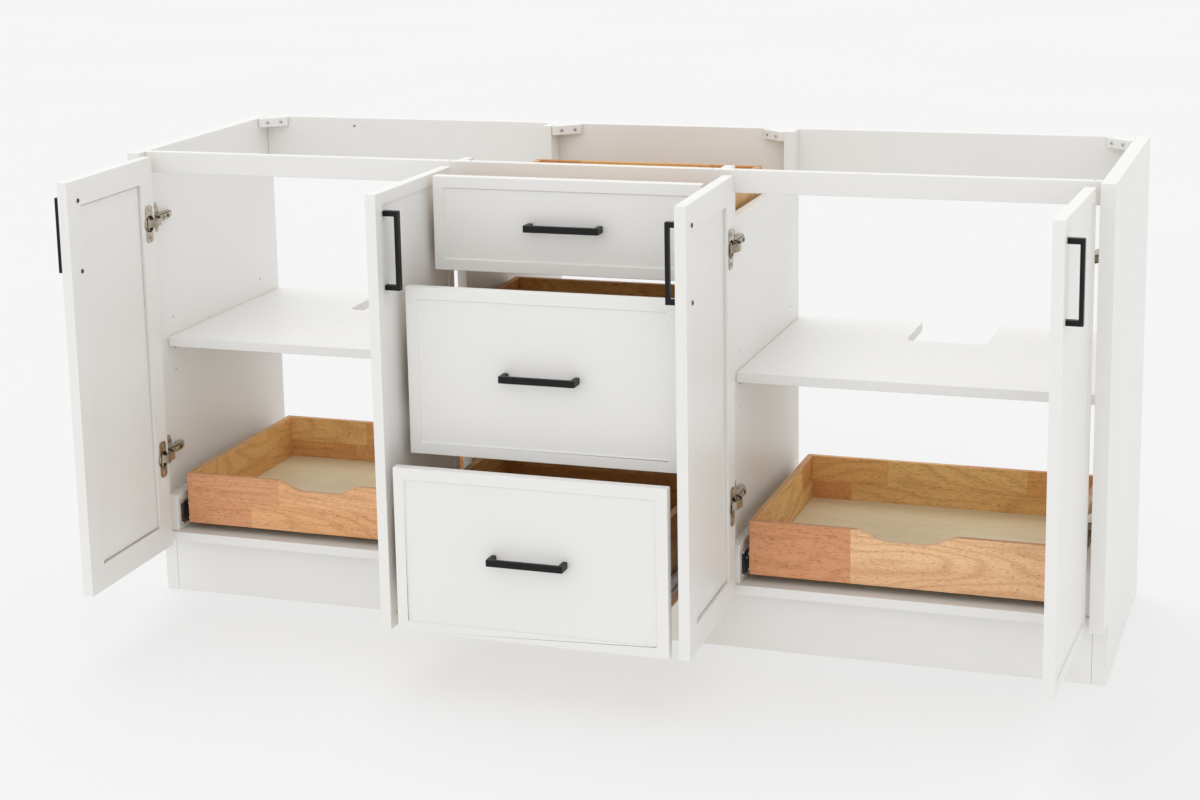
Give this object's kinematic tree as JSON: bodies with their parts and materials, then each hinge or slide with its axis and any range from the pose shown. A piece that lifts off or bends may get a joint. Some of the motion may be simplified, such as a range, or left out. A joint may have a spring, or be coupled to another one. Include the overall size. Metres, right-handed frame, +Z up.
{
  "type": "bathroom vanity cabinet",
  "caption": "White framed-panel bathroom vanity base with hinged doors, stacked centre drawers, side pull-out trays and notched shelves; open back and top.",
  "frame": {"origin": "on the floor, at the centre of the toe-kick board's underside", "axes": "+X to the viewer's right along the width, +Y from the doors to the wall, +Z up"},
  "size_m": [1.829, 0.9083, 0.885],
  "materials": {
    "white_paint": "warm white satin paint on board",
    "rubberwood": "finger-jointed hardwood staves under clear satin lacquer",
    "black_metal": "matte black",
    "nickel": "nickel plate",
    "zinc_steel": "zinc-plated rolled steel"
  },
  "bodies": {
    "case": {"side_panel_left": "white_paint", "side_panel_right": "white_paint", "divider_left": "white_paint", "divider_right": "white_paint", "deck_panel": "white_paint", "toe_kick_board": "white_paint", "front_top_rail": "white_paint", "back_top_rail": "white_paint", "back_bottom_rail": "white_paint", "shelf_left": "white_paint", "shelf_right": "white_paint", "tray_board_left_inner": "white_paint", "tray_board_left_outer": "white_paint", "tray_board_right_inner": "white_paint", "tray_board_right_outer": "white_paint", "slide_top_left": "zinc_steel", "slide_top_right": "zinc_steel", "slide_middle_left": "zinc_steel", "slide_middle_right": "zinc_steel", "slide_bottom_left": "zinc_steel", "slide_bottom_right": "zinc_steel", "slide_tray_left_inner": "zinc_steel", "slide_tray_left_outer": "zinc_steel", "slide_tray_right_inner": "zinc_steel", "slide_tray_right_outer": "zinc_steel", "hinge_arm_far_left_lower": "nickel", "hinge_arm_far_left_upper": "nickel", "hinge_arm_centre_left_lower": "nickel", "hinge_arm_centre_left_upper": "nickel", "hinge_arm_centre_right_lower": "nickel", "hinge_arm_centre_right_upper": "nickel", "hinge_arm_far_right_lower": "nickel", "hinge_arm_far_right_upper": "nickel"},
    "leaf_far_left": {"door_far_left": "white_paint", "hinge_cup_far_left_lower": "nickel", "hinge_cup_far_left_upper": "nickel", "pull_door_far_left": "black_metal"},
    "leaf_centre_left": {"door_centre_left": "white_paint", "hinge_cup_centre_left_lower": "nickel", "hinge_cup_centre_left_upper": "nickel", "pull_door_centre_left": "black_metal"},
    "leaf_centre_right": {"door_centre_right": "white_paint", "hinge_cup_centre_right_lower": "nickel", "hinge_cup_centre_right_upper": "nickel", "pull_door_centre_right": "black_metal"},
    "leaf_far_right": {"door_far_right": "white_paint", "hinge_cup_far_right_lower": "nickel", "hinge_cup_far_right_upper": "nickel", "pull_door_far_right": "black_metal"},
    "drawer_top": {"drawer_front_top": "white_paint", "drawer_box_top": "rubberwood", "pull_drawer_top": "black_metal"},
    "drawer_middle": {"drawer_front_middle": "white_paint", "drawer_box_middle": "rubberwood", "pull_drawer_middle": "black_metal"},
    "drawer_bottom": {"drawer_front_bottom": "white_paint", "drawer_box_bottom": "rubberwood", "pull_drawer_bottom": "black_metal"},
    "pullout_tray_left": {"tray_left": "rubberwood"},
    "pullout_tray_right": {"tray_right": "rubberwood"}
  },
  "joints": [
    {"name": "hinge_far_left", "type": "hinge", "parent": "case", "child": "leaf_far_left", "pos_m": [-0.88475, -0.06975, 0.496], "axis": [0, 0, -1], "range_deg": [-88.5, 16.5]},
    {"name": "hinge_centre_left", "type": "hinge", "parent": "case", "child": "leaf_centre_left", "pos_m": [-0.25075, -0.06975, 0.496], "axis": [0, 0, 1], "range_deg": [-88.5, 1.5]},
    {"name": "hinge_centre_right", "type": "hinge", "parent": "case", "child": "leaf_centre_right", "pos_m": [0.25075, -0.06975, 0.496], "axis": [0, 0, -1], "range_deg": [-88.5, 1.5]},
    {"name": "hinge_far_right", "type": "hinge", "parent": "case", "child": "leaf_far_right", "pos_m": [0.88475, -0.06975, 0.496], "axis": [0, 0, 1], "range_deg": [-88.5, 16.5]},
    {"name": "runner_top", "type": "slide", "parent": "case", "child": "drawer_top", "axis": [0, -1, 0], "range_m": [-0.105, 0.165]},
    {"name": "runner_middle", "type": "slide", "parent": "case", "child": "drawer_middle", "axis": [0, -1, 0], "range_m": [-0.242, 0.198]},
    {"name": "runner_bottom", "type": "slide", "parent": "case", "child": "drawer_bottom", "axis": [0, -1, 0], "range_m": [-0.323, 0.117]},
    {"name": "runner_tray_left", "type": "slide", "parent": "case", "child": "pullout_tray_left", "axis": [0, -1, 0], "range_m": [0, 0.44]},
    {"name": "runner_tray_right", "type": "slide", "parent": "case", "child": "pullout_tray_right", "axis": [0, -1, 0], "range_m": [0, 0.44]}
  ]
}
